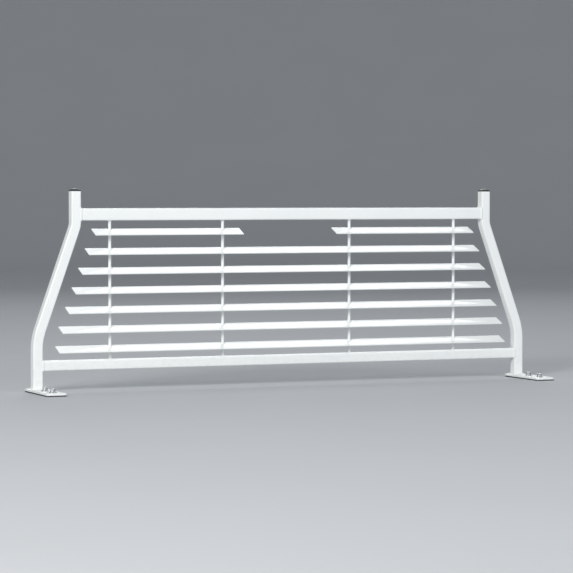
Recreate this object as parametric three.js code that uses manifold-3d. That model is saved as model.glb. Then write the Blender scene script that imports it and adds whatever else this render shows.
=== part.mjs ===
// Louvered headache rack for a full-size pickup.
//
// Two bent square-tube uprights stand on flat foot plates on the bed rails. A top and a bottom crossbar
// tie them together, and seven sloped louvers hang between the crossbars on four round rods. The top
// louver is split to leave a window for the cab's brake light.
//
// Millimetres. +X is the truck's right, +Y is forward (towards the cab), +Z is up. The origin is the
// middle of the foot plates' length and of the rack's width, on the surface of the bed rails.

import * as THREE from 'three';
import * as BufferGeometryUtils from 'three/addons/utils/BufferGeometryUtils.js';
import Module from 'manifold-3d';

// ---------------------------------------------------------------- driving dimensions

const GAP = 0.3;                    // clearance between pieces that touch
const OVERLAP = 1;                  // how far two shapes joined into one piece run into each other

const TUBE = 31.75;                 // square tube, outside
const TUBE_WALL = 2.1;
const TUBE_CORNER = 4;              // outside corner radius

const BASE_SPACING = 1691;          // uprights, centre to centre at the feet
const STOP_SPACING = 1439;          // uprights, centre to centre above the top crossbar
const LOWER_BEND_Z = 164.2;         // where the centre lines would meet
const LOWER_BEND_R = 200;
const UPPER_BEND_Z = 517.2;
const UPPER_BEND_R = 75;
const UPRIGHT_TOP_Z = 624.2;

const TOP_BAR_HEIGHT = 38.1;
const TOP_BAR_Z = 551.8;            // centre height of the top crossbar
const BOTTOM_BAR_Z = 81.2;          // centre height of the bottom crossbar

const LOUVER_COUNT = 7;
const LOUVER_PITCH = 61;
const LOWEST_LOUVER_Z = 130.4;      // centre of the lowest louver
const LOUVER_WIDTH = 48;
const LOUVER_THICKNESS = 3;
const LOUVER_TILT = THREE.MathUtils.degToRad(22.5);   // the front edge is the high one
const LOUVER_END_GAP = 47;          // louver end to the upright's inner face
const LIGHT_WINDOW = 326;           // gap in the top louver

const ROD_DIAMETER = 9.525;
const ROD_X = [-605, -223, 223, 605];
const ROD_HOLE_CLEARANCE = 0.4;
const ROD_HOLE_OFFSET = 14;         // rod holes ahead of a louver's middle, along its width

const PLATE_WIDTH = 63.5;
const PLATE_LENGTH = 228.6;
const PLATE_THICKNESS = 6.35;
const PLATE_CORNER = 6;
const PLATE_FRONT_MARGIN = 10;      // plate ahead of the upright's front face
const PAD_THICKNESS = 3;            // rubber pad under the plate

const BOLT_DIAMETER = 9.525;
const BOLT_HOLE_DIAMETER = 10.7;
const BOLT_Y = { front: 5, rear: -70 };
const SLOT_LENGTH = 30;             // the rear hole is a slot, end to end
const BOLT_HEAD_ACROSS_FLATS = 14.3;
const BOLT_HEAD_HEIGHT = 6.2;
const BOLT_END_Z = 0.5;             // the shank is modelled down to the rail surface
const WASHER_DIAMETER = 25.4;
const WASHER_BORE = 10.5;
const WASHER_THICKNESS = 2;
const LOCK_WASHER_DIAMETER = 17.3;
const LOCK_WASHER_THICKNESS = 2.4;
const LOCK_WASHER_SPLIT = THREE.MathUtils.degToRad(14);

const CAP_RISE = 8.5;               // crown of the end cap above the tube's end
const CAP_CROWN_R = 33.6;
const CAP_PLUG_LENGTH = 15;

// ---------------------------------------------------------------- derived dimensions

const plateBottomZ = PAD_THICKNESS + GAP;
const plateTopZ = plateBottomZ + PLATE_THICKNESS;
const uprightY = PLATE_LENGTH / 2 - PLATE_FRONT_MARGIN - TUBE / 2;
const louverY = uprightY - ROD_HOLE_OFFSET * Math.cos(LOUVER_TILT);
const lean = (BASE_SPACING - STOP_SPACING) / 2 / (UPPER_BEND_Z - LOWER_BEND_Z);
const topBarBottomZ = TOP_BAR_Z - TOP_BAR_HEIGHT / 2;
const bottomBarTopZ = BOTTOM_BAR_Z + TUBE / 2;
const tubeBore = TUBE - 2 * TUBE_WALL;
const SIDES = { left: -1, right: 1 };

// A curve gets twice as many straight edges: a corner is a quarter turn, a hole a whole one.
const CORNER_SEGMENTS = 1;
const HOLE_SEGMENTS = 6;
const RING_SEGMENTS = 8;
const BEND_SEGMENTS = 6;
const CROWN_SEGMENTS = 24;
const SHANK_SEGMENTS = 16;          // round the rods and bolt shanks

// ---------------------------------------------------------------- materials

const paint = () => new THREE.MeshStandardMaterial({ color: 0xf2f3f1, roughness: 0.38, metalness: 0 });
const rubber = () => new THREE.MeshStandardMaterial({ color: 0x17181a, roughness: 0.85, metalness: 0 });
const plastic = () => new THREE.MeshStandardMaterial({ color: 0x1e1f21, roughness: 0.5, metalness: 0 });
const zinc = () => new THREE.MeshStandardMaterial({ color: 0xc4c8cb, roughness: 0.35, metalness: 1 });

// ---------------------------------------------------------------- solids

const wasm = await Module();
wasm.setup();

function toManifold(geometry) {
  const bare = geometry.index ? geometry.toNonIndexed() : geometry.clone();
  bare.deleteAttribute('normal');
  bare.deleteAttribute('uv');
  const merged = BufferGeometryUtils.mergeVertices(bare, 1e-4);
  return new wasm.Manifold(new wasm.Mesh({
    numProp: 3,
    vertProperties: new Float32Array(merged.attributes.position.array),
    triVerts: new Uint32Array(merged.index.array),
  }));
}

function toGeometry(solid) {
  const mesh = solid.getMesh();
  const geometry = new THREE.BufferGeometry();
  geometry.setAttribute('position', new THREE.BufferAttribute(new Float32Array(mesh.vertProperties), 3));
  geometry.setIndex(new THREE.BufferAttribute(new Uint32Array(mesh.triVerts), 1));
  geometry.computeVertexNormals();
  return geometry;
}

// ---------------------------------------------------------------- outlines

function rectangle(width, height) {
  const corners = [[1, -1], [1, 1], [-1, 1], [-1, -1]];
  return new THREE.Shape(corners.map(([x, y]) => new THREE.Vector2((x * width) / 2, (y * height) / 2)));
}

// Rectangle with round corners, centred on the origin.
function roundedRectangle(width, height, radius, outline = new THREE.Shape()) {
  const x = width / 2;
  const y = height / 2;
  outline.moveTo(x, y - radius);
  outline.absarc(x - radius, y - radius, radius, 0, Math.PI / 2);
  outline.absarc(radius - x, y - radius, radius, Math.PI / 2, Math.PI);
  outline.absarc(radius - x, radius - y, radius, Math.PI, Math.PI * 1.5);
  outline.absarc(x - radius, radius - y, radius, Math.PI * 1.5, Math.PI * 2);
  return outline;
}

// Section of a tube with an even wall.
function tubeSection(width, height) {
  const section = roundedRectangle(width, height, TUBE_CORNER);
  const bore = roundedRectangle(
    width - 2 * TUBE_WALL, height - 2 * TUBE_WALL, TUBE_CORNER - TUBE_WALL, new THREE.Path());
  section.holes.push(bore);
  return section;
}

function circle(radius, x = 0, y = 0, outline = new THREE.Path()) {
  outline.absarc(x, y, radius, 0, Math.PI * 2);
  return outline;
}

// Slot along y, centred on (x, y).
function slot(width, length, x, y) {
  const radius = width / 2;
  const run = length / 2 - radius;
  const outline = new THREE.Path();
  outline.moveTo(x + radius, y - run);
  outline.absarc(x, y + run, radius, 0, Math.PI);
  outline.absarc(x, y - run, radius, Math.PI, Math.PI * 2);
  return outline;
}

function extrude(outline, depth, curveSegments) {
  return new THREE.ExtrudeGeometry(outline, { depth, curveSegments, bevelEnabled: false });
}

// ---------------------------------------------------------------- bent tube

// A run of straight and bent stretches through stations, each a point and a direction.
class BentRun extends THREE.Curve {
  constructor(stations) {
    super();
    this.stations = stations;
  }

  station(u) {
    return this.stations[Math.round(u * (this.stations.length - 1))];
  }

  getPoint(u) {
    return this.station(u).point.clone();
  }

  getPointAt(u) {
    return this.getPoint(u);
  }

  getTangentAt(u) {
    return this.station(u).direction.clone();
  }
}

// Stations of a planar run with its corners rounded: corners holds { point, radius }.
function bentStations(corners, segmentsPerBend) {
  const stations = [];
  const heading = (a, b) => b.point.clone().sub(a.point).normalize();
  stations.push({ point: corners[0].point, direction: heading(corners[0], corners[1]) });
  for (let i = 1; i < corners.length - 1; i += 1) {
    const { point, radius } = corners[i];
    const before = heading(corners[i - 1], corners[i]);
    const after = heading(corners[i], corners[i + 1]);
    const angle = before.angleTo(after);
    const axis = before.clone().cross(after).normalize();
    const inward = axis.clone().cross(before);
    const start = point.clone().addScaledVector(before, -radius * Math.tan(angle / 2));
    const centre = start.clone().addScaledVector(inward, radius);
    for (let k = 0; k <= segmentsPerBend; k += 1) {
      const turn = (angle * k) / segmentsPerBend;
      stations.push({
        point: start.clone().sub(centre).applyAxisAngle(axis, turn).add(centre),
        direction: before.clone().applyAxisAngle(axis, turn),
      });
    }
  }
  const last = corners.length - 1;
  stations.push({ point: corners[last].point, direction: heading(corners[last - 1], corners[last]) });
  return stations;
}

// ---------------------------------------------------------------- frame

function upright(side) {
  const baseX = (side * BASE_SPACING) / 2;
  const stopX = (side * STOP_SPACING) / 2;
  const stations = bentStations([
    { point: new THREE.Vector3(baseX, uprightY, plateTopZ + GAP) },
    { point: new THREE.Vector3(baseX, uprightY, LOWER_BEND_Z), radius: LOWER_BEND_R },
    { point: new THREE.Vector3(stopX, uprightY, UPPER_BEND_Z), radius: UPPER_BEND_R },
    { point: new THREE.Vector3(stopX, uprightY, UPRIGHT_TOP_Z) },
  ], BEND_SEGMENTS);
  return new THREE.ExtrudeGeometry(tubeSection(TUBE, TUBE), {
    steps: stations.length - 1,
    extrudePath: new BentRun(stations),
    curveSegments: CORNER_SEGMENTS,
  });
}

// Crossbar between two uprights: a plain length of tube along X, open at both ends.
function crossbar(height, spacing) {
  const length = spacing - TUBE - 2 * GAP;
  const geometry = extrude(tubeSection(height, TUBE), length, CORNER_SEGMENTS);
  geometry.translate(0, 0, -length / 2);
  geometry.rotateY(Math.PI / 2);
  return geometry;
}

// Crowned plug that closes the top of an upright.
function endCap() {
  const head = extrude(roundedRectangle(TUBE, TUBE, TUBE_CORNER), CAP_RISE, CORNER_SEGMENTS);
  const crown = new THREE.SphereGeometry(CAP_CROWN_R, CROWN_SEGMENTS, CROWN_SEGMENTS);
  crown.rotateX(Math.PI / 2);
  crown.translate(0, 0, CAP_RISE - CAP_CROWN_R);
  const plugWidth = tubeBore - 2 * GAP;
  const plugOutline = roundedRectangle(plugWidth, plugWidth, TUBE_CORNER - TUBE_WALL);
  const plug = extrude(plugOutline, CAP_PLUG_LENGTH + OVERLAP, CORNER_SEGMENTS);
  plug.translate(0, 0, -CAP_PLUG_LENGTH);
  return toGeometry(toManifold(head).intersect(toManifold(crown)).add(toManifold(plug)));
}

// ---------------------------------------------------------------- louvers and rods

// X of the upright's inner face at a height on its sloping stretch, or at the foot below it.
function innerFaceX(z) {
  const centre = BASE_SPACING / 2 - Math.max(0, z - LOWER_BEND_Z) * lean;
  const halfWidth = (TUBE / 2) * (z > LOWER_BEND_Z ? Math.hypot(1, lean) : 1);
  return centre - halfWidth;
}

// Flat slat from x0 to x1 with a hole for each rod that passes through it.
function louver(x0, x1) {
  const middle = (x0 + x1) / 2;
  const slat = rectangle(x1 - x0, LOUVER_WIDTH);
  const rod = ROD_DIAMETER / 2 + ROD_HOLE_CLEARANCE;
  const along = rod / Math.cos(LOUVER_TILT) + (LOUVER_THICKNESS / 2) * Math.tan(LOUVER_TILT);
  for (const x of ROD_X.filter((x) => x > x0 && x < x1)) {
    const hole = new THREE.Path();
    hole.absellipse(x - middle, ROD_HOLE_OFFSET, rod, along, 0, Math.PI * 2);
    slat.holes.push(hole);
  }
  const geometry = extrude(slat, LOUVER_THICKNESS, HOLE_SEGMENTS);
  geometry.translate(0, 0, -LOUVER_THICKNESS / 2);
  return geometry;
}

function rodBetweenBars() {
  const length = topBarBottomZ - bottomBarTopZ - 2 * GAP;
  const radius = ROD_DIAMETER / 2;
  const geometry = new THREE.CylinderGeometry(radius, radius, length, SHANK_SEGMENTS);
  geometry.rotateX(Math.PI / 2);
  return geometry;
}

// ---------------------------------------------------------------- feet and hardware

// Foot outline with a round hole in front and a slot behind, for the plate and its pad.
function footOutline() {
  const outline = roundedRectangle(PLATE_WIDTH, PLATE_LENGTH, PLATE_CORNER);
  outline.holes.push(circle(BOLT_HOLE_DIAMETER / 2, 0, BOLT_Y.front));
  outline.holes.push(slot(BOLT_HOLE_DIAMETER, SLOT_LENGTH, 0, BOLT_Y.rear));
  return outline;
}

function washer() {
  const ring = circle(WASHER_DIAMETER / 2, 0, 0, new THREE.Shape());
  ring.holes.push(circle(WASHER_BORE / 2));
  return extrude(ring, WASHER_THICKNESS, RING_SEGMENTS);
}

// Ring cut through at one place.
function lockWasher() {
  const half = LOCK_WASHER_SPLIT / 2;
  const ring = new THREE.Shape();
  ring.absarc(0, 0, LOCK_WASHER_DIAMETER / 2, half, Math.PI * 2 - half, false);
  ring.absarc(0, 0, WASHER_BORE / 2, Math.PI * 2 - half, half, true);
  return extrude(ring, LOCK_WASHER_THICKNESS, RING_SEGMENTS);
}

// Hexagon head with its underside at z = 0 and the shank below it.
function hexBolt(shankLength) {
  const cornerRadius = BOLT_HEAD_ACROSS_FLATS / Math.sqrt(3);
  const head = new THREE.CylinderGeometry(cornerRadius, cornerRadius, BOLT_HEAD_HEIGHT, 6);
  head.rotateX(Math.PI / 2);
  head.translate(0, 0, BOLT_HEAD_HEIGHT / 2);
  const radius = BOLT_DIAMETER / 2;
  const shank = new THREE.CylinderGeometry(radius, radius, shankLength + OVERLAP, SHANK_SEGMENTS);
  shank.rotateX(Math.PI / 2);
  shank.translate(0, 0, (OVERLAP - shankLength) / 2);
  return toGeometry(toManifold(head).add(toManifold(shank)));
}

// ---------------------------------------------------------------- assembly

const rack = new THREE.Group();

function add(parent, name, geometry, material, position = [0, 0, 0]) {
  const mesh = new THREE.Mesh(geometry, material);
  mesh.name = name;
  mesh.position.set(...position);
  parent.add(mesh);
  return mesh;
}

for (const [name, side] of Object.entries(SIDES)) {
  add(rack, `upright_${name}`, upright(side), paint());
  add(rack, `end_cap_${name}`, endCap(), plastic(),
    [(side * STOP_SPACING) / 2, uprightY, UPRIGHT_TOP_Z + GAP]);
}

add(rack, 'top_crossbar', crossbar(TOP_BAR_HEIGHT, STOP_SPACING), paint(), [0, uprightY, TOP_BAR_Z]);
add(rack, 'bottom_crossbar', crossbar(TUBE, BASE_SPACING), paint(), [0, uprightY, BOTTOM_BAR_Z]);

for (let number = 1; number <= LOUVER_COUNT; number += 1) {
  const z = LOWEST_LOUVER_Z + (LOUVER_COUNT - number) * LOUVER_PITCH;
  const end = innerFaceX(z) - LOUVER_END_GAP;
  const spans = number === 1
    ? { louver_1_left: [-end, -LIGHT_WINDOW / 2], louver_1_right: [LIGHT_WINDOW / 2, end] }
    : { [`louver_${number}`]: [-end, end] };
  for (const [name, [x0, x1]] of Object.entries(spans)) {
    const slat = add(rack, name, louver(x0, x1), paint(), [(x0 + x1) / 2, louverY, z]);
    slat.rotation.x = LOUVER_TILT;
  }
}

ROD_X.forEach((x, i) => {
  add(rack, `rod_${i + 1}`, rodBetweenBars(), paint(), [x, uprightY, (topBarBottomZ + bottomBarTopZ) / 2]);
});

for (const [name, side] of Object.entries(SIDES)) {
  const foot = new THREE.Group();
  foot.position.x = (side * BASE_SPACING) / 2;
  rack.add(foot);
  add(foot, `foot_pad_${name}`, extrude(footOutline(), PAD_THICKNESS, HOLE_SEGMENTS), rubber());
  add(foot, `foot_plate_${name}`, extrude(footOutline(), PLATE_THICKNESS, HOLE_SEGMENTS), paint(),
    [0, 0, plateBottomZ]);

  const washerZ = plateTopZ + GAP;
  const lockWasherZ = washerZ + WASHER_THICKNESS + GAP;
  const headZ = lockWasherZ + LOCK_WASHER_THICKNESS + GAP;
  for (const [place, y] of Object.entries(BOLT_Y)) {
    add(foot, `washer_${name}_${place}`, washer(), zinc(), [0, y, washerZ]);
    add(foot, `lock_washer_${name}_${place}`, lockWasher(), zinc(), [0, y, lockWasherZ]);
    add(foot, `bolt_${name}_${place}`, hexBolt(headZ - BOLT_END_Z), zinc(), [0, y, headZ]);
  }
}

export default rack;
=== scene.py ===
import math
import random

import bmesh
import bpy
from mathutils import Matrix, Vector
from mathutils.geometry import tessellate_polygon


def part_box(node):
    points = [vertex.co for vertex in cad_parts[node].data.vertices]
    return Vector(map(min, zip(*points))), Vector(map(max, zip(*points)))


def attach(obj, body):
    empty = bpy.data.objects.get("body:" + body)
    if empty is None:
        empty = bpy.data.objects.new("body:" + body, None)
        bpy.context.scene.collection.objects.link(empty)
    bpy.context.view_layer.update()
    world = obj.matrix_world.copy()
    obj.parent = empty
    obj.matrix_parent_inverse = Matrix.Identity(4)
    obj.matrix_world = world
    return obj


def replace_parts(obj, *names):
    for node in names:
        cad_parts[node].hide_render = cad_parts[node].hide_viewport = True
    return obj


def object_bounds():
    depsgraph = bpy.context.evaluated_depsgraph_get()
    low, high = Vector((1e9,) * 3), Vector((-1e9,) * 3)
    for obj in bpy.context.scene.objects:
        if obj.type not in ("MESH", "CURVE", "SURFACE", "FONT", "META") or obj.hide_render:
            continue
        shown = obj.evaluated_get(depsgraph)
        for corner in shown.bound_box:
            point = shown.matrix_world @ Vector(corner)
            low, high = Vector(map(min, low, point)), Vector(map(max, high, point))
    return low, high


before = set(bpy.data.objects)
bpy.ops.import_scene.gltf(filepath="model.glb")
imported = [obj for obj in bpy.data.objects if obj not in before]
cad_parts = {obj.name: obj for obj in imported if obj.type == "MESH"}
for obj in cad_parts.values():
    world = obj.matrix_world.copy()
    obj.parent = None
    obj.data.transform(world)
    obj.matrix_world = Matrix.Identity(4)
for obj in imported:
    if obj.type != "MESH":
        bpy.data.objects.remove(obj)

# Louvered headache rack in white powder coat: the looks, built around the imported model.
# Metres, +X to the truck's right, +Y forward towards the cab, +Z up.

CAD_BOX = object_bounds()
BODY = "root"
SIDES = {"left": -1, "right": 1}
BOLT_PLACES = ("front", "rear")
random.seed(7)

# ---------------------------------------------------------------- sizes that the frame's boxes don't give

TUBE_WALL = 0.0021
TUBE_CORNER = 0.004
LOWER_BEND_Z = 0.1642
LOWER_BEND_R = 0.200
UPPER_BEND_Z = 0.5172
UPPER_BEND_R = 0.075
BEND_STEPS = 16
BEND_DISH = 0.0007            # how far the inner face of a bend draws in
JOINT_GAP = 0.0003            # between pieces that touch

CAP_CROWN_RISE = 0.0062       # the domed part of an end cap, above its square rim
CAP_RIM_ROUND = 0.0008
CAP_CROWN_STEPS = 14
CAP_BORE_PLAY = 0.0006        # the shank's ribs are this much narrower than the tube's bore
CAP_RIB_COUNT = 3
CAP_FIRST_RIB = 0.4           # the first rib's height over the shank's end, in rib spacings
CAP_RIB_DEPTH = 0.0016        # the shank between the ribs is this much narrower than they are
CAP_RIB_ABOVE = 0.0010        # height of a rib's slope above its widest place, and below it
CAP_RIB_BELOW = 0.0012
CAP_LEAD_IN = 0.0020          # the shank's lower end is this much narrower than the ribs
CAP_SHANK_CORNER = 0.0020
CAP_RIB_CORNER = 0.0025
CAP_NECK = 0.0001             # height of the step between the shank and the rim
CAP_ROUNDEST = 0.4995         # corner radius over width, at most: just short of a circle

LOUVER_TILT = math.radians(22.5)
LOUVER_WIDTH = 0.048
LOUVER_THICKNESS = 0.003
LOUVER_CORNER = 0.0015
LOUVER_EDGE = 0.0006          # round of the cut edges
ROD_HOLE_CLEARANCE = 0.0004

PLATE_CORNER = 0.006
PLATE_EDGE = 0.0008
PAD_EDGE = 0.0010
BOLT_HOLE_DIAMETER = 0.0107
SLOT_LENGTH = 0.030
SHANK_DIAMETER = 0.009525
SHANK_CHAMFER = 0.001
HEAD_FACE_SHARE = 0.95        # width of the bolt head's round faces, over its flats
WASHER_FACE = 0.0004          # height of the round face under the bolt head
HEAD_CHAMFER = math.radians(30)
WASHER_BORE = 0.0105
WASHER_EDGE = 0.0004
LOCK_WASHER_SPLIT = math.radians(14)
EDGE_STEPS = 3                # rings round each rounded edge

FILLET_WELD = 0.0033          # radius of the beads at the ends of the crossbars
FOOT_WELD = FILLET_WELD * 1.2
ROD_WELD = 0.0019             # radius of the beads round the rods
WELD_SINK = 0.0014            # how far a crossbar's beads lie inside its front and rear faces
WELD_SINK_TOP = 0.00028       # and inside its upper and lower faces
RIPPLE_PITCH = 0.0026
RIPPLE_CREST = 1.05           # the bead's radius at the start of a ripple, over the usual one
RIPPLE_FALL = 0.16            # and how much of it is lost over the ripple
RIPPLE_SPREAD = (0.93, 1.06)  # ripples differ by this much
LEAST_BEAD_RINGS = 12

# ---------------------------------------------------------------- places in the frame


def middle(node):
    low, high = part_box(node)
    return (low + high) / 2


def axis_of(node):
    """The point on a node's vertical axis where it meets the floor."""
    centre = middle(node)
    return Vector((centre.x, centre.y, 0))


def foot_of(side_name):
    """X and Y of an upright's lower end, and the width of its tube."""
    low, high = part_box(f"upright_{side_name}")
    width = high.y - low.y
    return SIDES[side_name] * (max(abs(low.x), abs(high.x)) - width / 2), (low.y + high.y) / 2, width


def polar(centre, radius, angle, height):
    return centre + Vector((radius * math.cos(angle), radius * math.sin(angle), height))


# ---------------------------------------------------------------- outlines


def rounded_rectangle(width, height, radius, corner_steps=6, side_steps=1):
    """Points round a rectangle with round corners, counter-clockwise and centred on the origin."""
    x, y = width / 2 - radius, height / 2 - radius
    corners = [(x, y, 0), (-x, y, 1), (-x, -y, 2), (x, -y, 3)]
    points = []
    for cx, cy, quarter in corners:
        for k in range(corner_steps + 1):
            a = (quarter + k / corner_steps) * math.pi / 2
            points.append(Vector((cx + radius * math.cos(a), cy + radius * math.sin(a))))
    if side_steps == 1:
        return points
    dense = []
    for i, p in enumerate(points):
        dense.append(p)
        if (i + 1) % (corner_steps + 1) == 0:
            after = points[(i + 1) % len(points)]
            dense += [p.lerp(after, k / side_steps) for k in range(1, side_steps)]
    return dense


def ellipse(rx, ry, centre=(0, 0), steps=32):
    return [
        Vector((centre[0] + rx * math.cos(t), centre[1] + ry * math.sin(t)))
        for t in (2 * math.pi * k / steps for k in range(steps))
    ]


def slot(width, length, centre, steps=16):
    """A slot along y, counter-clockwise."""
    radius, run = width / 2, (length - width) / 2
    points = []
    for end in (1, -1):
        for k in range(steps + 1):
            a = math.pi * k / steps + (0 if end > 0 else math.pi)
            y = centre[1] + end * run + radius * math.sin(a)
            points.append(Vector((centre[0] + radius * math.cos(a), y)))
    return points


def inset(outline, distance):
    """The outline moved to its left by a distance: inwards if it runs counter-clockwise."""
    moved = []
    for i, p in enumerate(outline):
        before, after = outline[i - 1], outline[(i + 1) % len(outline)]
        n1 = (p - before).orthogonal().normalized()
        n2 = (after - p).orthogonal().normalized()
        moved.append(p + (n1 + n2) * distance / (1 + n1.dot(n2)))
    return moved


# ---------------------------------------------------------------- solids


class Solid:
    """Closed shells gathered into one mesh."""

    def __init__(self):
        self.points = []
        self.faces = []

    def ring(self, points):
        start = len(self.points)
        self.points += [Vector(p) for p in points]
        return list(range(start, len(self.points)))

    def bridge(self, a, b):
        n = len(a)
        self.faces += [(a[i], a[(i + 1) % n], b[(i + 1) % n], b[i]) for i in range(n)]

    def loft(self, rings, closed=False):
        """A skin through rings of points, its two ends filled, or joined to each other if closed."""
        made = [self.ring(r) for r in rings]
        for a, b in zip(made, made[1:]):
            self.bridge(a, b)
        if closed:
            self.bridge(made[-1], made[0])
        else:
            self.faces.append(tuple(reversed(made[0])))
            self.faces.append(tuple(made[-1]))

    def slab(self, outer, holes, thickness, edge, place):
        """A plate with holes and rounded edges, centred on its thickness, then put in place by a matrix."""
        loops = [outer] + [list(reversed(h)) for h in holes]
        levels = []
        for k in range(EDGE_STEPS + 1):
            a = math.pi / 2 * k / EDGE_STEPS
            levels.append((edge * (1 - math.sin(a)), -thickness / 2 + edge * (1 - math.cos(a))))
        levels += [(distance, -z) for distance, z in reversed(levels)]
        shells = []
        for distance, z in levels:
            shells.append([
                self.ring([place @ Vector((p.x, p.y, z)) for p in inset(loop, distance)]) for loop in loops
            ])
        for low, high in zip(shells, shells[1:]):
            for a, b in zip(low, high):
                self.bridge(a, b)
        for shell, distance in ((shells[0], levels[0][0]), (shells[-1], levels[-1][0])):
            index = [i for ring in shell for i in ring]
            flat = [[p.to_3d() for p in inset(loop, distance)] for loop in loops]
            self.faces += [tuple(index[i] for i in triangle) for triangle in tessellate_polygon(flat)]

    def piece(self, name, material, smooth_angle=35.0):
        """Makes the Blender object, with its faces pointing out and its hard edges kept."""
        mesh = bpy.data.meshes.new(name)
        mesh.from_pydata([tuple(p) for p in self.points], [], self.faces)
        shell = bmesh.new()
        shell.from_mesh(mesh)
        bmesh.ops.remove_doubles(shell, verts=shell.verts, dist=1e-7)
        bmesh.ops.recalc_face_normals(shell, faces=shell.faces)
        shell.to_mesh(mesh)
        shell.free()
        mesh.polygons.foreach_set("use_smooth", [True] * len(mesh.polygons))
        mesh.set_sharp_from_angle(angle=math.radians(smooth_angle))
        mesh.materials.append(material)
        made = bpy.data.objects.new(name, mesh)
        bpy.context.scene.collection.objects.link(made)
        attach(made, BODY)
        return made


# ---------------------------------------------------------------- materials


def new_material(name):
    material = bpy.data.materials.new(name)
    material.use_nodes = True
    nodes, links = material.node_tree.nodes, material.node_tree.links
    shader = nodes["Principled BSDF"]
    where = nodes.new("ShaderNodeTexCoord").outputs["Object"]
    return material, nodes, links, shader, where


def noise(nodes, links, where, scale, detail=2.0, roughness=0.5):
    texture = nodes.new("ShaderNodeTexNoise")
    texture.inputs["Scale"].default_value = scale
    texture.inputs["Detail"].default_value = detail
    texture.inputs["Roughness"].default_value = roughness
    links.new(where, texture.inputs["Vector"])
    return texture.outputs["Fac"]


def spread(nodes, links, value, low, high, source=(0.3, 0.7)):
    """Maps a noise value from its usual range to low..high."""
    mapping = nodes.new("ShaderNodeMapRange")
    mapping.inputs["From Min"].default_value = source[0]
    mapping.inputs["From Max"].default_value = source[1]
    mapping.inputs["To Min"].default_value = low
    mapping.inputs["To Max"].default_value = high
    links.new(value, mapping.inputs["Value"])
    return mapping.outputs["Result"]


def blend(nodes, links, factor, a, b):
    """Mixes two colours, each a colour or a socket."""
    mix = nodes.new("ShaderNodeMix")
    mix.data_type = "RGBA"
    links.new(factor, mix.inputs["Factor"])
    for socket, value in ((mix.inputs["A"], a), (mix.inputs["B"], b)):
        if isinstance(value, tuple):
            socket.default_value = (*value, 1)
        else:
            links.new(value, socket)
    return mix.outputs["Result"]


def bump(nodes, links, height, strength, distance, under=None):
    node = nodes.new("ShaderNodeBump")
    node.inputs["Strength"].default_value = strength
    node.inputs["Distance"].default_value = distance
    links.new(height, node.inputs["Height"])
    if under is not None:
        links.new(under, node.inputs["Normal"])
    return node.outputs["Normal"]


def powder_coat():
    """Gloss white powder coat: faint orange peel, uneven tone, and a little road film low down."""
    thin_coat, full_coat = (0.86, 0.885, 0.875), (0.90, 0.915, 0.905)
    road_film = (0.47, 0.45, 0.41)
    film_top = 0.12
    film_at_foot, film_above = 0.32, 0.03
    material, nodes, links, shader, where = new_material("powder_coat")
    tone = spread(nodes, links, noise(nodes, links, where, 4.0, detail=3), 0, 1)
    coat = blend(nodes, links, tone, thin_coat, full_coat)

    height = nodes.new("ShaderNodeSeparateXYZ")
    links.new(where, height.inputs["Vector"])
    low_down = spread(nodes, links, height.outputs["Z"], film_at_foot, film_above, source=(0.0, film_top))
    speckle = noise(nodes, links, where, 55.0, detail=6, roughness=0.65)
    patches = spread(nodes, links, speckle, 0, 1, source=(0.45, 0.75))
    film = nodes.new("ShaderNodeMath")
    film.operation = "MULTIPLY"
    links.new(low_down, film.inputs[0])
    links.new(patches, film.inputs[1])
    colour = blend(nodes, links, film.outputs["Value"], coat, road_film)
    links.new(colour, shader.inputs["Base Color"])

    gloss = spread(nodes, links, noise(nodes, links, where, 30.0, detail=4), 0.30, 0.42)
    links.new(gloss, shader.inputs["Roughness"])
    orange_peel = noise(nodes, links, where, 420.0, detail=1)
    fine_grain = noise(nodes, links, where, 1100.0, detail=1)
    relief = bump(nodes, links, orange_peel, strength=0.25, distance=0.0001)
    relief = bump(nodes, links, fine_grain, strength=0.2, distance=0.00003, under=relief)
    links.new(relief, shader.inputs["Normal"])
    shader.inputs["Coat Weight"].default_value = 0.2
    shader.inputs["Coat Roughness"].default_value = 0.18
    return material


def moulded_rubber():
    """Matt black rubber with a fine grain and some dust."""
    black, dusty = (0.016, 0.017, 0.018), (0.06, 0.058, 0.054)
    material, nodes, links, shader, where = new_material("moulded_rubber")
    dust = spread(nodes, links, noise(nodes, links, where, 90.0, detail=5), 0, 1, source=(0.4, 0.8))
    links.new(blend(nodes, links, dust, black, dusty), shader.inputs["Base Color"])
    gloss = spread(nodes, links, noise(nodes, links, where, 200.0), 0.72, 0.9)
    links.new(gloss, shader.inputs["Roughness"])
    grain = bump(nodes, links, noise(nodes, links, where, 1500.0, detail=3), strength=0.35, distance=0.0003)
    links.new(grain, shader.inputs["Normal"])
    return material


def cap_plastic():
    """Black polyethylene with a spark-eroded grain, greyed a little by the sun."""
    black, greyed = (0.022, 0.023, 0.025), (0.040, 0.041, 0.043)
    material, nodes, links, shader, where = new_material("cap_plastic")
    bleached = spread(nodes, links, noise(nodes, links, where, 70.0, detail=4), 0, 1)
    links.new(blend(nodes, links, bleached, black, greyed), shader.inputs["Base Color"])
    gloss = spread(nodes, links, noise(nodes, links, where, 150.0), 0.42, 0.55)
    links.new(gloss, shader.inputs["Roughness"])
    grain = bump(nodes, links, noise(nodes, links, where, 2200.0, detail=2), strength=0.25, distance=0.0002)
    links.new(grain, shader.inputs["Normal"])
    return material


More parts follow.
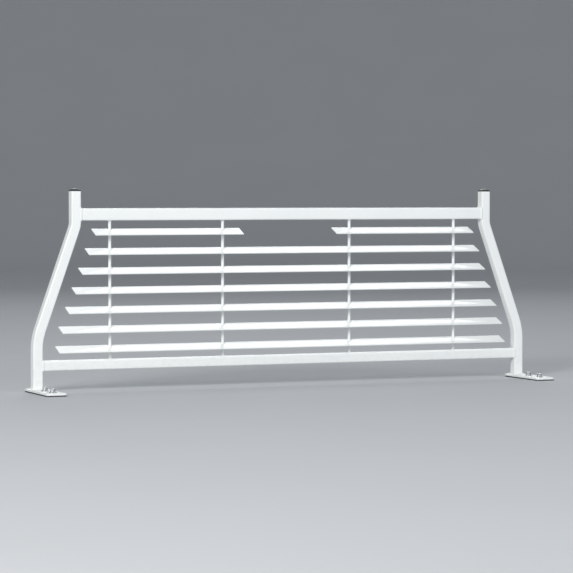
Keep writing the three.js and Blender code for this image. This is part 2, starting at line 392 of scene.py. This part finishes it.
def zinc_plate():
    """Bright zinc over steel: a cool grey metal, clouded and dulled in patches."""
    dull, bright = (0.56, 0.58, 0.60), (0.72, 0.735, 0.75)
    material, nodes, links, shader, where = new_material("zinc_plate")
    cloud = spread(nodes, links, noise(nodes, links, where, 240.0, detail=5, roughness=0.6), 0, 1)
    links.new(blend(nodes, links, cloud, dull, bright), shader.inputs["Base Color"])
    gloss = spread(nodes, links, noise(nodes, links, where, 420.0, detail=4), 0.24, 0.46)
    links.new(gloss, shader.inputs["Roughness"])
    grain = bump(nodes, links, noise(nodes, links, where, 1600.0, detail=2), strength=0.2, distance=0.00004)
    links.new(grain, shader.inputs["Normal"])
    shader.inputs["Metallic"].default_value = 1.0
    return material


PAINT = powder_coat()
RUBBER = moulded_rubber()
PLASTIC = cap_plastic()
HARDWARE = zinc_plate()

# ---------------------------------------------------------------- square tube


def tube_ring(station, width, height, radius, dish=0.0):
    """A ring of the tube's section at a station, its inner face drawn in by dish where the tube bends."""
    point, direction, inner_side = station
    depth = Vector((0, 1, 0))
    across = depth.cross(direction).normalized()
    ring = []
    for p in rounded_rectangle(width, height, radius, side_steps=6):
        u, v = p
        towards_inner = u * inner_side
        if dish and towards_inner > 0:
            hollow = 1 - (2 * v / height) ** 2
            u -= inner_side * dish * hollow * towards_inner / (width / 2)
        ring.append(point + across * u + depth * v)
    return ring


def hollow_tube(solid, stations, width, height):
    """A tube with an open bore through stations of (point, direction, which side is inner, bend share)."""
    outer = []
    inner = []
    for point, direction, inner_side, share in stations:
        station = (point, direction, inner_side)
        dish = BEND_DISH * share
        outer.append(tube_ring(station, width, height, TUBE_CORNER, dish))
        inner.append(tube_ring(
            station, width - 2 * TUBE_WALL, height - 2 * TUBE_WALL, TUBE_CORNER - TUBE_WALL, dish))
    solid.loft(outer + list(reversed(inner)), closed=True)


def bent_stations(start, corners, end):
    """Stations of a run in the XZ plane, whose corners are (point, bend radius)."""
    places = [start] + [c[0] for c in corners] + [end]
    stations = [(start, (places[1] - start).normalized(), 1, 0.0)]
    for i, (corner, radius) in enumerate(corners, start=1):
        before = (corner - places[i - 1]).normalized()
        after = (places[i + 1] - corner).normalized()
        angle = before.angle(after)
        axis = before.cross(after).normalized()
        inward = axis.cross(before)
        first = corner - before * radius * math.tan(angle / 2)
        centre = first + inward * radius
        inner_side = 1 if Vector((0, 1, 0)).cross(before).dot(inward) > 0 else -1
        for k in range(BEND_STEPS + 1):
            share = k / BEND_STEPS
            turn = Matrix.Rotation(angle * share, 3, axis)
            stations.append((centre + turn @ (first - centre), turn @ before, inner_side,
                             math.sin(math.pi * share) ** 2))
    stations.append((end, (end - places[-2]).normalized(), 1, 0.0))
    return stations


def upright(side_name):
    low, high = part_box(f"upright_{side_name}")
    base_x, y, width = foot_of(side_name)
    stop_x = middle(f"end_cap_{side_name}").x
    corners = [
        (Vector((base_x, y, LOWER_BEND_Z)), LOWER_BEND_R),
        (Vector((stop_x, y, UPPER_BEND_Z)), UPPER_BEND_R),
    ]
    stations = bent_stations(Vector((base_x, y, low.z)), corners, Vector((stop_x, y, high.z)))
    solid = Solid()
    hollow_tube(solid, stations, width, width)
    made = solid.piece(f"upright_{side_name}_tube", PAINT)
    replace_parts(made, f"upright_{side_name}")


def crossbar(node):
    """A plain length of tube, open at both ends."""
    low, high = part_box(node)
    y, z = (low.y + high.y) / 2, (low.z + high.z) / 2
    direction = Vector((1, 0, 0))
    stations = [(Vector((x, y, z)), direction, 1, 0.0) for x in (low.x, high.x)]
    solid = Solid()
    hollow_tube(solid, stations, high.z - low.z, high.y - low.y)
    made = solid.piece(f"{node}_tube", PAINT)
    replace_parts(made, node)


# ---------------------------------------------------------------- end caps


def end_cap(side_name):
    """A crowned plug: the crown shows, the ribbed shank grips the tube's bore."""
    node = f"end_cap_{side_name}"
    low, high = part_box(node)
    tube_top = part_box(f"upright_{side_name}")[1].z
    centre = axis_of(node)
    width = high.x - low.x
    rib = width - 2 * TUBE_WALL - CAP_BORE_PLAY
    shank = rib - CAP_RIB_DEPTH
    under_rim = tube_top + JOINT_GAP
    crown_z = high.z - CAP_CROWN_RISE

    def section(size, radius, z):
        return [centre + Vector((p.x, p.y, z)) for p in rounded_rectangle(size, size, radius)]

    rings = [section(rib - CAP_LEAD_IN, CAP_SHANK_CORNER, low.z)]
    for k in range(CAP_RIB_COUNT):
        z = low.z + (tube_top - low.z) * (k + CAP_FIRST_RIB) / CAP_RIB_COUNT
        rings.append(section(shank, CAP_SHANK_CORNER, z - CAP_RIB_BELOW))
        rings.append(section(rib, CAP_RIB_CORNER, z))
        rings.append(section(shank, CAP_SHANK_CORNER, z + CAP_RIB_ABOVE))
    rings.append(section(shank, CAP_SHANK_CORNER, under_rim - CAP_NECK))
    rings.append(section(width - 2 * CAP_RIM_ROUND, TUBE_CORNER, under_rim))
    rings.append(section(width, TUBE_CORNER, under_rim + CAP_RIM_ROUND))
    rings.append(section(width, TUBE_CORNER, crown_z - CAP_RIM_ROUND))
    for k in range(CAP_CROWN_STEPS):
        share = k / CAP_CROWN_STEPS
        a = math.pi / 2 * share
        size = (width - CAP_RIM_ROUND) * math.cos(a)
        radius = min(TUBE_CORNER + (size / 2 - TUBE_CORNER) * share, size * CAP_ROUNDEST)
        rings.append(section(size, radius, crown_z + CAP_CROWN_RISE * math.sin(a)))
    solid = Solid()
    solid.loft(rings)
    made = solid.piece(f"{node}_plug", PLASTIC, smooth_angle=50)
    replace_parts(made, node)


# ---------------------------------------------------------------- louvers and rods

RODS = [f"rod_{i}" for i in range(1, 5)]
LOUVERS = ["louver_1_left", "louver_1_right"] + [f"louver_{i}" for i in range(2, 8)]


def rods_through(node):
    low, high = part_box(node)
    return [rod for rod in RODS if low.x < middle(rod).x < high.x]


def louver(node):
    """A flat slat on a slope, with a hole for each rod that passes through it."""
    low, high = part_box(node)
    centre = middle(node)
    rod_low, rod_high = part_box(RODS[0])
    across = (rod_high.x - rod_low.x) / 2 + ROD_HOLE_CLEARANCE
    along = across / math.cos(LOUVER_TILT) + LOUVER_THICKNESS / 2 * math.tan(LOUVER_TILT)
    outline = rounded_rectangle(high.x - low.x, LOUVER_WIDTH, LOUVER_CORNER, corner_steps=4)
    hole_y = (middle(RODS[0]).y - centre.y) / math.cos(LOUVER_TILT)
    holes = [ellipse(across, along, (middle(rod).x - centre.x, hole_y)) for rod in rods_through(node)]
    place = Matrix.Translation(centre) @ Matrix.Rotation(LOUVER_TILT, 4, "X")
    solid = Solid()
    solid.slab(outline, holes, LOUVER_THICKNESS, LOUVER_EDGE, place)
    made = solid.piece(f"{node}_slat", PAINT)
    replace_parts(made, node)


def rod(node):
    low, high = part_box(node)
    centre = middle(node)
    radius = (high.x - low.x) / 2
    rings = [
        [Vector((centre.x + p.x, centre.y + p.y, z)) for p in ellipse(radius, radius, steps=40)]
        for z in (low.z, high.z)
    ]
    solid = Solid()
    solid.loft(rings)
    made = solid.piece(f"{node}_bar", PAINT)
    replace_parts(made, node)


# ---------------------------------------------------------------- weld beads


def resample(path, spacing):
    """Points evenly spaced along a closed path."""
    closed = path + [path[0]]
    lengths = [(b - a).length for a, b in zip(closed, closed[1:])]
    total = sum(lengths)
    count = max(LEAST_BEAD_RINGS, round(total / spacing))
    points, i, gone = [], 0, 0.0
    for k in range(count):
        target = total * k / count
        while gone + lengths[i] < target:
            gone += lengths[i]
            i += 1
        points.append(closed[i].lerp(closed[i + 1], (target - gone) / lengths[i]))
    return points


def bead(solid, path, radius, section_steps=10, rings_per_ripple=5):
    """A weld bead along a closed path, its surface rippled where each drop of metal froze."""
    points = resample(path, RIPPLE_PITCH / rings_per_ripple)
    centre = sum(points, Vector()) / len(points)
    rings = []
    swell = 1.0
    for i, p in enumerate(points):
        phase = (i % rings_per_ripple) / rings_per_ripple
        if phase == 0:
            swell = random.uniform(*RIPPLE_SPREAD)
        tangent = (points[(i + 1) % len(points)] - points[i - 1]).normalized()
        outward = (p - centre) - tangent * (p - centre).dot(tangent)
        outward.normalize()
        binormal = tangent.cross(outward)
        size = radius * swell * (RIPPLE_CREST - RIPPLE_FALL * phase)
        rings.append([
            p + (outward * math.cos(a) + binormal * math.sin(a)) * size
            for a in (2 * math.pi * k / section_steps for k in range(section_steps))
        ])
    solid.loft(rings, closed=True)


def crossbar_welds(node):
    """A bead round each end of a crossbar, sunk a little into the tubes that it joins."""
    low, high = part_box(node)
    depth = high.y - low.y - 2 * WELD_SINK
    height = high.z - low.z - 2 * WELD_SINK_TOP
    solid = Solid()
    outline = rounded_rectangle(depth, height, TUBE_CORNER)
    y, z = (low.y + high.y) / 2, (low.z + high.z) / 2
    for x in (low.x, high.x):
        bead(solid, [Vector((x, y + p.x, z + p.y)) for p in outline], FILLET_WELD)
    solid.piece(f"{node}_welds", PAINT, smooth_angle=80)


def foot_welds(side_name):
    """A bead round the foot of an upright, on its plate."""
    foot_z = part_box(f"upright_{side_name}")[0].z
    x, y, width = foot_of(side_name)
    solid = Solid()
    outline = rounded_rectangle(width, width, TUBE_CORNER)
    bead(solid, [Vector((x + p.x, y + p.y, foot_z)) for p in outline], FOOT_WELD)
    solid.piece(f"foot_{side_name}_welds", PAINT, smooth_angle=80)


def rod_welds(node):
    """Beads where a rod meets both crossbars, and above and below each louver that it passes through."""
    low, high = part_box(node)
    centre = middle(node)
    radius = (high.x - low.x) / 2
    circle = ellipse(radius, radius, steps=24)
    solid = Solid()
    for z in (low.z, high.z):
        bead(solid, [Vector((centre.x + p.x, centre.y + p.y, z)) for p in circle], ROD_WELD)
    slope = math.tan(LOUVER_TILT)
    half = LOUVER_THICKNESS / 2 / math.cos(LOUVER_TILT)
    for slat in LOUVERS:
        if node not in rods_through(slat):
            continue
        crossing = middle(slat).z + (centre.y - middle(slat).y) * slope
        for z in (crossing + half, crossing - half):
            path = [Vector((centre.x + p.x, centre.y + p.y, z + p.y * slope)) for p in circle]
            bead(solid, path, ROD_WELD)
    solid.piece(f"{node}_welds", PAINT, smooth_angle=80)


# ---------------------------------------------------------------- feet and hardware


def bolt_spots(side_name):
    return [middle(f"washer_{side_name}_{place}") for place in BOLT_PLACES]


def foot_slab(node, side_name, material, edge):
    """The foot plate, or the pad under it: a round hole in front and a slot behind."""
    low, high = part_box(node)
    centre = middle(node)
    front, rear = bolt_spots(side_name)
    radius = BOLT_HOLE_DIAMETER / 2
    holes = [
        ellipse(radius, radius, (0, front.y - centre.y)),
        slot(BOLT_HOLE_DIAMETER, SLOT_LENGTH, (0, rear.y - centre.y)),
    ]
    outline = rounded_rectangle(high.x - low.x, high.y - low.y, PLATE_CORNER, corner_steps=10)
    solid = Solid()
    solid.slab(outline, holes, high.z - low.z, edge, Matrix.Translation(centre))
    made = solid.piece(f"{node}_slab", material)
    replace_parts(made, node)


def turned(solid, profile, centre, steps=48):
    """A solid of revolution about a vertical axis from a closed profile of (radius, height) points."""
    rings = []
    for k in range(steps):
        a = 2 * math.pi * k / steps
        rings.append([polar(centre, r, a, z) for r, z in profile])
    solid.loft(rings, closed=True)


def soft_rectangle(x0, x1, z0, z1, edge):
    """A closed profile of a rectangle with rounded corners."""
    cx, cz = (x0 + x1) / 2, (z0 + z1) / 2
    outline = rounded_rectangle(x1 - x0, z1 - z0, edge, corner_steps=EDGE_STEPS)
    return [(cx + p.x, cz + p.y) for p in outline]


def washer(node):
    low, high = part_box(node)
    profile = soft_rectangle(WASHER_BORE / 2, (high.x - low.x) / 2, low.z, high.z, WASHER_EDGE)
    solid = Solid()
    turned(solid, profile, axis_of(node))
    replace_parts(solid.piece(f"{node}_ring", HARDWARE), node)


def lock_washer(node, steps=48):
    """A ring cut through at one place."""
    low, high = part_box(node)
    centre = axis_of(node)
    profile = soft_rectangle(WASHER_BORE / 2, (high.y - low.y) / 2, low.z, high.z, WASHER_EDGE)
    rings = []
    for k in range(steps + 1):
        a = LOCK_WASHER_SPLIT / 2 + (2 * math.pi - LOCK_WASHER_SPLIT) * k / steps
        rings.append([polar(centre, r, a, z) for r, z in profile])
    solid = Solid()
    solid.loft(rings)
    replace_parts(solid.piece(f"{node}_ring", HARDWARE), node)


def bolt(node, steps=72):
    """Hexagon bolt: chamfered head, washer face and plain shank."""
    low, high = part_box(node)
    centre = axis_of(node)
    apothem = (high.x - low.x) / 2
    face = apothem * HEAD_FACE_SHARE
    shank = SHANK_DIAMETER / 2
    lock_washer_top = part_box("lock_" + node.replace("bolt", "washer"))[1].z
    head_z = lock_washer_top + JOINT_GAP
    hex_z = head_z + WASHER_FACE
    turns = [2 * math.pi * k / steps for k in range(steps)]

    def hexagon(turn):
        """Distance from the axis to the hexagon's side; its flats face +X and -X."""
        return apothem / math.cos(math.radians((math.degrees(turn) + 30) % 60 - 30))

    def round_ring(radius, z):
        return [polar(centre, radius, turn, z) for turn in turns]

    def chamfered(turn):
        """Height of the head's side: its corners are cut lower than its flats."""
        return high.z - (hexagon(turn) - face) * math.tan(HEAD_CHAMFER)

    rings = [
        round_ring(shank - SHANK_CHAMFER, low.z),
        round_ring(shank, low.z + SHANK_CHAMFER),
        round_ring(shank, head_z),
        round_ring(face, head_z),
        round_ring(face, hex_z),
        [polar(centre, hexagon(turn), turn, hex_z) for turn in turns],
        [polar(centre, hexagon(turn), turn, chamfered(turn)) for turn in turns],
        round_ring(face, high.z),
    ]
    solid = Solid()
    solid.loft(rings)
    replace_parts(solid.piece(f"{node}_hex", HARDWARE, smooth_angle=25), node)


# ---------------------------------------------------------------- the rack

for name in SIDES:
    upright(name)
    end_cap(name)
    foot_slab(f"foot_plate_{name}", name, PAINT, PLATE_EDGE)
    foot_slab(f"foot_pad_{name}", name, RUBBER, PAD_EDGE)
    foot_welds(name)
    for place in BOLT_PLACES:
        washer(f"washer_{name}_{place}")
        lock_washer(f"lock_washer_{name}_{place}")
        bolt(f"bolt_{name}_{place}")
for bar in ("top_crossbar", "bottom_crossbar"):
    crossbar(bar)
    crossbar_welds(bar)
for slat_node in LOUVERS:
    louver(slat_node)
for rod_node in RODS:
    rod(rod_node)
    rod_welds(rod_node)

# ---------------------------------------------------------------- stage, light and camera


def studio():
    """A round pale sweep: flat floor, then a wide curve up to a wall."""
    floor_radius, curve_radius, wall_top = 13.0, 8.0, 14.0
    curve_steps, steps = 24, 128
    light_grey, pale_grey = (0.49, 0.50, 0.515), (0.515, 0.525, 0.54)

    profile = [(floor_radius, 0)]
    for k in range(1, curve_steps + 1):
        a = math.pi / 2 * k / curve_steps
        profile.append((floor_radius + curve_radius * math.sin(a), curve_radius * (1 - math.cos(a))))
    profile.append((floor_radius + curve_radius, wall_top))

    points, faces = [], []
    for r, z in profile:
        points += [polar(Vector(), r, 2 * math.pi * k / steps, z) for k in range(steps)]
    for i in range(len(profile) - 1):
        for k in range(steps):
            n = (k + 1) % steps
            faces.append((i * steps + k, (i + 1) * steps + k, (i + 1) * steps + n, i * steps + n))
    faces.append(tuple(range(steps)))
    mesh = bpy.data.meshes.new("studio_sweep")
    mesh.from_pydata(points, [], faces)
    mesh.polygons.foreach_set("use_smooth", [True] * (len(faces) - 1) + [False])

    material, nodes, links, shader, where = new_material("studio_paper")
    colour = blend(nodes, links, noise(nodes, links, where, 1.5, detail=2), light_grey, pale_grey)
    links.new(colour, shader.inputs["Base Color"])
    shader.inputs["Roughness"].default_value = 0.95
    shader.inputs["Specular IOR Level"].default_value = 0.1
    mesh.materials.append(material)
    sweep = bpy.data.objects.new("studio_sweep", mesh)
    bpy.context.scene.collection.objects.link(sweep)


def soft_light(name, place, target, size, power, colour, beam=180):
    data = bpy.data.lights.new(name, "AREA")
    data.shape = "SQUARE"
    data.size = size
    data.energy = power
    data.color = colour
    data.spread = math.radians(beam)
    lamp = bpy.data.objects.new(name, data)
    lamp.location = place
    lamp.rotation_euler = (Vector(target) - Vector(place)).to_track_quat("-Z", "Y").to_euler()
    bpy.context.scene.collection.objects.link(lamp)


def lighting():
    aim = (0, 0.05, 0.3)
    warm, cool, neutral = (1.0, 0.985, 0.965), (0.93, 0.97, 1.0), (0.97, 0.985, 1.0)
    soft_light("key", (-6.5, -5.5, 3.8), aim, size=3.0, power=560, colour=warm)
    soft_light("fill", (3.5, -8.0, 3.4), aim, size=5.0, power=245, colour=cool)
    soft_light("back", (3.5, 9.0, 5.5), aim, size=6.0, power=48, colour=neutral, beam=50)
    pale_blue = (0.90, 0.95, 1.0, 1)
    world = bpy.data.worlds.new("sky")
    world.use_nodes = True
    background = world.node_tree.nodes["Background"]
    background.inputs["Color"].default_value = pale_blue
    background.inputs["Strength"].default_value = 0.46
    bpy.context.scene.world = world


def camera():
    """From the truck's left rear, a little above the rack's middle, as in the photograph."""
    place = (-3.23, -7.38, 0.607)
    low, high = CAD_BOX
    target = (low + high) / 2
    target.y = middle("top_crossbar").y
    data = bpy.data.cameras.new("photo_view")
    data.sensor_width = 36
    data.lens = 158
    view = bpy.data.objects.new("photo_view", data)
    view.location = place
    view.rotation_euler = (target - view.location).to_track_quat("-Z", "Y").to_euler()
    bpy.context.scene.collection.objects.link(view)
    bpy.context.scene.camera = view


studio()
lighting()
camera()
bpy.context.scene.view_settings.view_transform = "Standard"
